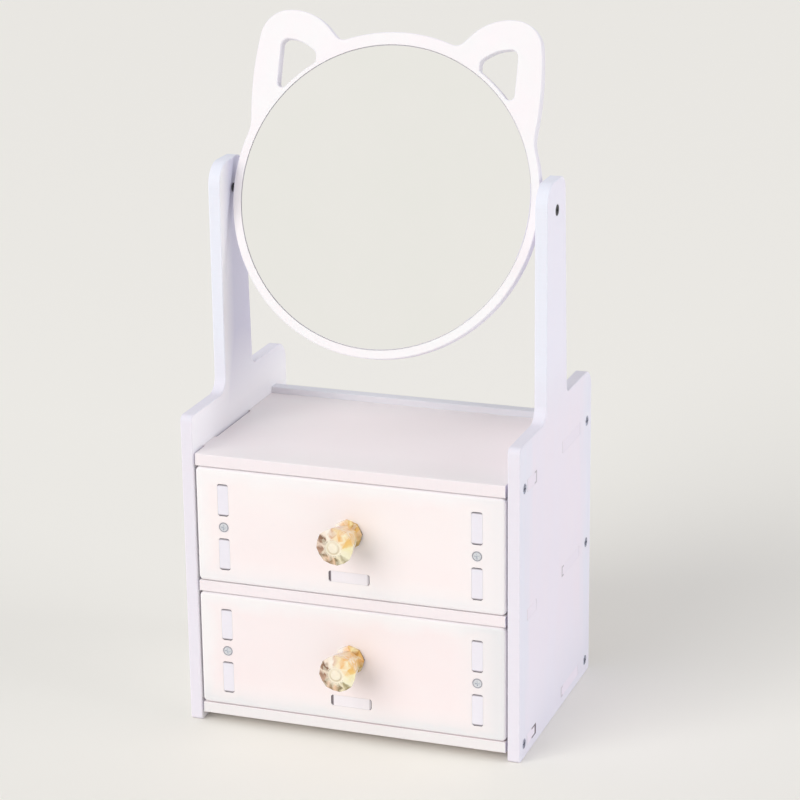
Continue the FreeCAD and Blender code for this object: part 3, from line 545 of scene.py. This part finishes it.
def metal(name, light, dark, rough, metallic=1.0, ring=None):
    """Blotchy metal or rubber.

    rough holds its lowest and highest roughness, and ring(tree, place, normal) gives the share that a dark
    outline takes.
    """
    tree = material_tree(name)
    space = tree.add("ShaderNodeTexCoord").outputs
    place, normal = space["Object"], space["Normal"]
    blotch = tree.noise(place, scale=700.0, detail=3.0, roughness=0.6)
    fine = tree.noise(place, scale=4200.0, detail=2.0, roughness=0.6)
    colour = tree.mix(tree.span(blotch, 0.35, 0.65), light, dark)
    if ring is not None:
        colour = tree.mix(ring(tree, place, normal), colour, HEAD_RIM)
    return tree.finish({"Base Color": colour, "Roughness": tree.span(fine, NOISE_LOW, NOISE_HIGH, *rough),
                        "Metallic": metallic, "Normal": tree.bump(fine, strength=0.15, distance=0.05 * MM)})


def head_outline(across, up):
    """Dark rim round the two screw heads in a drawer front."""
    def ring(tree, place, normal):
        spot = tree.split(place)
        beside = tree.minus(tree.unsigned(spot["X"]), across)
        above = tree.minus(spot["Z"], up)
        rim = tree.span(tree.distance(beside, above), 3.0 * MM, 3.5 * MM)
        return tree.times(rim, tree.span(tree.split(normal)["Y"], -0.5, -0.9))
    return ring


paint([name for name in NODES if "screw" in name],
      metal("dull_steel", light=rgb(0.72, 0.77, 0.95), dark=rgb(0.04, 0.045, 0.10), rough=(0.30, 0.50)))
paint(["pivot_screws"],
      metal("black_coat", light=rgb(0.012, 0.012, 0.016), dark=rgb(0.03, 0.03, 0.035), rough=(0.45, 0.65),
            metallic=0.0))
paint(["pivot_washers"],
      metal("rubber", light=rgb(0.03, 0.03, 0.035), dark=rgb(0.06, 0.06, 0.065), rough=(0.60, 0.80),
            metallic=0.0))
for prefix in ("upper", "lower"):
    low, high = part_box(prefix + "_drawer_screws")
    side_low, side_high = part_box(prefix + "_drawer_right_side")
    outline = head_outline((side_low.x + side_high.x) / 2, (low.z + high.z) / 2)
    paint([prefix + "_drawer_screws"],
          metal(prefix + "_bright_steel", light=rgb(0.90, 0.93, 0.98), dark=rgb(0.78, 0.81, 0.88),
                rough=(0.22, 0.42), ring=outline))

# ---------------------------------------------------------------- mirror glass
DISC_SEGMENTS = 256
DISC_HALF = 1.5 * MM
DISC_GRIND = 0.8 * MM
DISC_ARRIS = 0.3 * MM
DISC_SHARP = math.radians(20)


def mirror_material():
    """Silvered glass with a trace of haze and smears."""
    tree = material_tree("silvered_glass")
    place = tree.add("ShaderNodeTexCoord").outputs["Object"]
    haze = tree.noise(place, scale=14.0, detail=4.0, roughness=0.6)
    smear = tree.noise(place, scale=45.0, detail=4.0, roughness=0.7)
    colour = tree.mix(tree.span(haze, 0.4, 0.6), rgb(0.985, 0.99, 0.985), rgb(0.995, 0.995, 0.995))
    rough = tree.span(smear, 0.45, 0.75, to_low=0.004, to_high=0.02)
    return tree.finish({"Base Color": colour, "Roughness": rough, "Metallic": 1.0})


def mirror_disc():
    """Silvered disc with a ground edge, in the place of the plain glass."""
    low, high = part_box("mirror_glass")
    radius = (high.x - low.x) / 2
    centre = (low + high) / 2
    across = Vector((1, 0, 0))
    up = Vector((0, math.sin(LEAN), math.cos(LEAN)))
    front = Vector(MIRROR_AXIS)
    # each ring's radius and its depth towards the front, from the rear to the front
    rings = [(radius - DISC_ARRIS, -DISC_HALF), (radius, -DISC_HALF + DISC_ARRIS),
             (radius, DISC_HALF - DISC_GRIND), (radius - DISC_GRIND, DISC_HALF),
             (radius - 2 * DISC_GRIND, DISC_HALF)]
    bm = bmesh.new()
    loops = []
    for away, depth in rings:
        loop = []
        for step in range(DISC_SEGMENTS):
            angle = TAU * step / DISC_SEGMENTS
            loop.append(bm.verts.new(centre + across * (away * math.cos(angle))
                                     + up * (away * math.sin(angle)) + front * depth))
        loops.append(loop)
    for inner, outer in zip(loops, loops[1:]):
        for step in range(DISC_SEGMENTS):
            after = (step + 1) % DISC_SEGMENTS
            bm.faces.new((inner[step], inner[after], outer[after], outer[step]))
    bm.faces.new(list(reversed(loops[0])))
    bm.faces.new(loops[-1])
    bmesh.ops.recalc_face_normals(bm, faces=bm.faces)
    mesh = mesh_from("mirror_disc", bm)
    for polygon in mesh.polygons:
        polygon.use_smooth = True
    mesh.set_sharp_from_angle(angle=DISC_SHARP)
    mesh.materials.append(mirror_material())
    piece = add_object("mirror_disc", mesh)
    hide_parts("mirror_glass")
    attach(piece, "mirror")


mirror_disc()

# ---------------------------------------------------------------- knobs
FACETS = 8
SOFTENED_EDGE = 0.16 * MM
HEAD_TURN = math.radians(7.5)
BASE_TURN = math.radians(5)
NEARLY_FLAT = math.radians(1)

# reach from the drawer front and radius in millimetres, whether the ring's corners are turned by half
# a facet, and how far its sides bulge from straight lines to a circle
HEAD_RINGS = [
    (5.4, 3.0, False, 0.0), (5.4, 9.9, True, 0.3), (28.6, 15.2, False, 0.6),
    (30.2, 15.2, False, 0.6), (32.3, 11.6, True, 0.4), (33.5, 7.4, False, 0.5), (33.0, 5.6, True, 1.0),
    (33.0, 4.6, True, 1.0), (33.6, 4.0, True, 1.0), (33.9, 3.0, True, 1.0),
]
BASE_RINGS = [
    (0.0, 3.0, False, 0.0), (0.0, 12.2, False, 0.3), (2.4, 12.2, False, 0.3), (5.5, 9.8, True, 0.3),
    (5.5, 3.0, False, 0.0),
]

# colours of the facets by the side of the knob's axis on which they lie, as a share of a turn from +x to
# +z; they are painted light, shade and reflections of the amber, pale on the lit sides and brown on the
# shaded ones
HEAD_HUES = [
    (0.00, (0.95, 0.86, 0.52)), (0.03, (0.90, 0.60, 0.20)), (0.09, (0.88, 0.52, 0.14)),
    (0.12, (0.96, 0.84, 0.56)), (0.16, (0.88, 0.48, 0.15)), (0.22, (0.92, 0.70, 0.38)),
    (0.27, (0.70, 0.42, 0.27)), (0.31, (0.96, 0.89, 0.78)), (0.36, (0.90, 0.76, 0.62)),
    (0.39, (0.20, 0.10, 0.05)), (0.44, (0.30, 0.16, 0.09)), (0.47, (0.82, 0.64, 0.52)),
    (0.51, (0.32, 0.17, 0.10)), (0.57, (0.52, 0.31, 0.21)), (0.61, (0.20, 0.12, 0.04)),
    (0.65, (0.86, 0.60, 0.42)), (0.70, (0.26, 0.15, 0.05)), (0.74, (0.90, 0.62, 0.40)),
    (0.78, (0.22, 0.16, 0.06)), (0.82, (0.94, 0.84, 0.56)), (0.87, (0.34, 0.27, 0.10)),
    (0.91, (0.97, 0.93, 0.68)), (1.00, (0.95, 0.86, 0.52)),
]
BASE_HUES = [
    (0.00, (0.62, 0.32, 0.05)), (0.05, (0.84, 0.46, 0.15)), (0.11, (0.86, 0.52, 0.13)),
    (0.15, (0.56, 0.25, 0.04)), (0.19, (0.96, 0.80, 0.38)), (0.24, (0.80, 0.40, 0.09)),
    (0.29, (0.93, 0.66, 0.42)), (0.35, (0.97, 0.92, 0.84)), (0.60, (0.88, 0.56, 0.22)),
    (0.90, (0.40, 0.25, 0.05)), (0.95, (0.50, 0.32, 0.08)), (1.00, (0.70, 0.38, 0.07)),
]
HEAD_FACE = rgb(0.97, 0.89, 0.72)
BASE_FACE = rgb(0.84, 0.50, 0.15)
# pale specks painted as glints
SPARK = rgb(0.97, 0.93, 0.74)
# painted shade in the groove round the boss
GROOVE_SHADE = rgb(0.56, 0.42, 0.20)
# painted shade along the seam where the rosette meets the drawer
SEAM_SHADE = rgb(0.14, 0.10, 0.04)
FACE_SHARE = 0.8
# more than 1, because FACE_SHARE takes some of it off again
INNER_SHARE = 1.15
SPARK_SHARE = 0.35
GROOVE_SHADE_SHARE = 0.5
SEAM_SHADE_SHARE = 0.9
# how far, in shares of a turn, the borders between the hues wander
HUE_WANDER = 0.025
# how far a facet's slope shifts it sideways before its hue is looked up
SLOPE_SHIFT = 12.0 * MM
GROOVE_RADIUS = 4.7 * MM


def crystal(name, centre, shift, hues, face, foot):
    """Amber crystal with painted light, shade and reflections on its facets, as where light goes through
    and bounces inside.

    shift moves the noise, so that no two knobs are alike. face is the colour of the flat front, and foot
    the share of painted shade along the seam where it meets the drawer, towards its lower right.
    """
    tree = material_tree(name)
    space = tree.add("ShaderNodeTexCoord").outputs
    place = space["Object"]
    moved = tree.add("ShaderNodeVectorMath", {0: place, 1: shift}, operation="ADD").outputs[0]
    facing = tree.split(space["Normal"])
    spot = tree.split(place)
    beside = tree.minus(spot["X"], centre.x)
    above = tree.minus(spot["Z"], centre.z)
    away = tree.distance(beside, above)

    # painted light, shade and reflections: a facet's hue follows the side of the axis that it faces
    side = tree.math("ADD", tree.times(facing["X"], SLOPE_SHIFT), beside)
    rise = tree.math("ADD", tree.times(facing["Z"], SLOPE_SHIFT), above)
    turn = tree.math("DIVIDE", tree.math("ARCTAN2", rise, side), TAU)
    wave = tree.wander(moved, scale=130.0, detail=2.0, low=1 - HUE_WANDER, high=1 + HUE_WANDER)
    colour = tree.ramp(tree.math("FRACT", tree.math("ADD", turn, wave)), hues)

    flat = tree.span(facing["Y"], -0.95, -0.985)
    inner = tree.span(away, 7.2 * MM, 6.2 * MM, to_high=INNER_SHARE)
    colour = tree.mix(tree.times(tree.most(flat, inner), FACE_SHARE), colour, face)

    # painted glints: pale specks scattered over the facets
    cells = tree.add("ShaderNodeTexVoronoi", {"Vector": moved, "Scale": 260.0}).outputs["Color"]
    spark = tree.span(tree.add("ShaderNodeSeparateColor", {0: cells}).outputs[0], 0.60, 0.90)
    colour = tree.mix(tree.times(spark, SPARK_SHARE), colour, SPARK)

    # painted shade in the groove round the boss, deeper below the axis
    off_groove = tree.unsigned(tree.minus(away, GROOVE_RADIUS))
    groove_shade = tree.span(off_groove, 1.0 * MM, 0.3 * MM, to_high=GROOVE_SHADE_SHARE)
    shaded = tree.span(above, 3.0 * MM, -3.0 * MM, to_low=0.35)
    colour = tree.mix(tree.times(groove_shade, shaded), colour, GROOVE_SHADE)

    # painted shade along the seam where the rosette meets the drawer, towards its lower right
    depth = tree.minus(spot["Y"], centre.y)
    seam_shade = tree.span(depth, -1.9 * MM, -1.1 * MM, to_high=foot)
    under = tree.span(tree.minus(beside, above), -4.0 * MM, 8.0 * MM)
    colour = tree.mix(tree.times(seam_shade, under), colour, SEAM_SHADE)

    rough = tree.wander(moved, scale=320.0, detail=3.0, low=0.03, high=0.09, roughness=0.6)
    bump = tree.bump(tree.noise(moved, scale=150.0, detail=2.0), strength=0.06, distance=0.30 * MM)
    return tree.finish({"Base Color": colour, "Roughness": rough, "Normal": bump, "IOR": 1.5,
                        "Transmission Weight": 0.05, "Coat Weight": 0.4, "Coat Roughness": 0.03})


def cut_crystal(name, rings, centre, turn, material):
    """Rings of corners and side middles, joined by flat facets with softened edges."""
    steps = 2 * FACETS
    straight = math.cos(math.pi / FACETS)
    bm = bmesh.new()
    loops = []
    for reach, radius, turned, bulge in rings:
        loop = []
        for step in range(steps):
            corner = (step % 2 == 0) != turned
            here = radius * MM * (1.0 if corner else straight + (1 - straight) * bulge)
            angle = turn + TAU * step / steps
            loop.append(bm.verts.new((centre.x + here * math.cos(angle), centre.y - reach * MM,
                                      centre.z + here * math.sin(angle))))
        loops.append((loop, turned))
    for (rear, rear_turned), (front, front_turned) in zip(loops, loops[1:]):
        for step in range(steps):
            after = (step + 1) % steps
            a, b, c, d = rear[step], rear[after], front[after], front[step]
            if rear_turned == front_turned:
                bm.faces.new((a, b, c, d))
            elif (step % 2 == 0) != rear_turned:
                bm.faces.new((a, b, c))
                bm.faces.new((a, c, d))
            else:
                bm.faces.new((a, b, d))
                bm.faces.new((b, c, d))
    bm.faces.new(list(reversed(loops[0][0])))
    bm.faces.new(loops[-1][0])
    bmesh.ops.recalc_face_normals(bm, faces=bm.faces)
    bmesh.ops.dissolve_limit(bm, angle_limit=NEARLY_FLAT, verts=bm.verts, edges=bm.edges)
    bmesh.ops.bevel(bm, geom=list(bm.edges), offset=SOFTENED_EDGE, segments=1, affect="EDGES",
                    clamp_overlap=True)
    mesh = mesh_from(name, bm)
    mesh.materials.append(material)
    piece = add_object(name, mesh)
    return piece


KNOB_SHIFTS = (("upper", (0.0, 0.0, 0.0)), ("lower", (0.31, 0.12, 0.07)))
for prefix, shift in KNOB_SHIFTS:
    low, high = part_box(prefix + "_knob")
    _, base_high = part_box(prefix + "_knob_base")
    centre = Vector(((low.x + high.x) / 2, base_high.y, (low.z + high.z) / 2))
    head_look = crystal(prefix + "_head_amber", centre, shift, HEAD_HUES, HEAD_FACE, foot=0.0)
    base_look = crystal(prefix + "_base_amber", centre, shift, BASE_HUES, BASE_FACE, foot=SEAM_SHADE_SHARE)
    head = cut_crystal(prefix + "_knob_head", HEAD_RINGS, centre, HEAD_TURN, head_look)
    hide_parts(prefix + "_knob")
    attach(head, prefix + "_drawer")
    rosette = cut_crystal(prefix + "_knob_rosette", BASE_RINGS, centre, BASE_TURN, base_look)
    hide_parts(prefix + "_knob_base")
    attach(rosette, prefix + "_drawer")

# ---------------------------------------------------------------- floor, world and lamps
BACKDROP = rgb(0.823, 0.807, 0.761)
SKY = rgb(0.96, 0.955, 1.0)
SKY_STRENGTH = 0.60
FLOOR_HALF = 12
FLOOR_TONES = (rgb(0.925, 0.910, 0.845), rgb(0.94, 0.925, 0.86))
FAR_FLOOR = rgb(0.985, 0.970, 0.900)
FAR_FROM = -0.25
FAR_TO = 0.60


def floor():
    """Pale floor, a little paler behind the object."""
    bm = bmesh.new()
    bmesh.ops.create_grid(bm, x_segments=1, y_segments=1, size=FLOOR_HALF)
    piece = add_object("floor", mesh_from("floor", bm))
    tree = material_tree("floor")
    place = tree.add("ShaderNodeTexCoord").outputs["Object"]
    far = tree.span(tree.split(place)["Y"], FAR_FROM, FAR_TO)
    shade = tree.mix(far, tree.mix(tree.noise(place, scale=3.0), *FLOOR_TONES), FAR_FLOOR)
    piece.data.materials.append(tree.finish({"Base Color": shade, "Roughness": 0.9}))


def world():
    """Plain backdrop, also in metal and glass, and a soft sky that lights the object."""
    surroundings = bpy.data.worlds.new("world")
    bpy.context.scene.world = surroundings
    tree = Tree(surroundings, "ShaderNodeOutputWorld")
    path = tree.add("ShaderNodeLightPath").outputs
    seen = tree.fold("MAXIMUM", [path["Is Camera Ray"], path["Is Glossy Ray"], path["Is Transmission Ray"]])
    sky = tree.add("ShaderNodeBackground", {"Color": SKY, "Strength": SKY_STRENGTH})
    backdrop = tree.add("ShaderNodeBackground", {"Color": BACKDROP})
    tree.show(tree.add("ShaderNodeMixShader", {0: seen, 1: sky.outputs[0], 2: backdrop.outputs[0]}))


def lamp(name, kind, toward, strength):
    """A lamp that shines from the side that toward points to."""
    data = bpy.data.lights.new(name, kind)
    data.energy = strength
    made = add_object(name, data)
    made.rotation_euler = Vector(toward).to_track_quat("Z", "Y").to_euler()
    return made


def sun(name, toward, strength, spread, colour):
    """Broad soft light. The mirror doesn't show it."""
    made = lamp(name, "SUN", toward, strength)
    made.data.angle = math.radians(spread)
    made.data.color = colour
    made.visible_glossy = False


def softbox(name, place, aim, size, power):
    """Small lamp for glints on the knobs and screws."""
    made = lamp(name, "AREA", Vector(place) - Vector(aim), power)
    made.data.shape = "SQUARE"
    made.data.size = size
    made.location = place


floor()
world()
sun("key", toward=(-0.48, -0.83, 0.45), strength=1.37, spread=45, colour=(1.0, 0.995, 0.97))
sun("fill", toward=(0.97, -0.02, 0.25), strength=0.84, spread=30, colour=(0.965, 0.965, 1.0))
softbox("sparkle", place=(-0.9, -1.0, 1.9), aim=(0, 0, 0.2), size=0.5, power=2.0)
bpy.context.scene.view_settings.view_transform = "Standard"
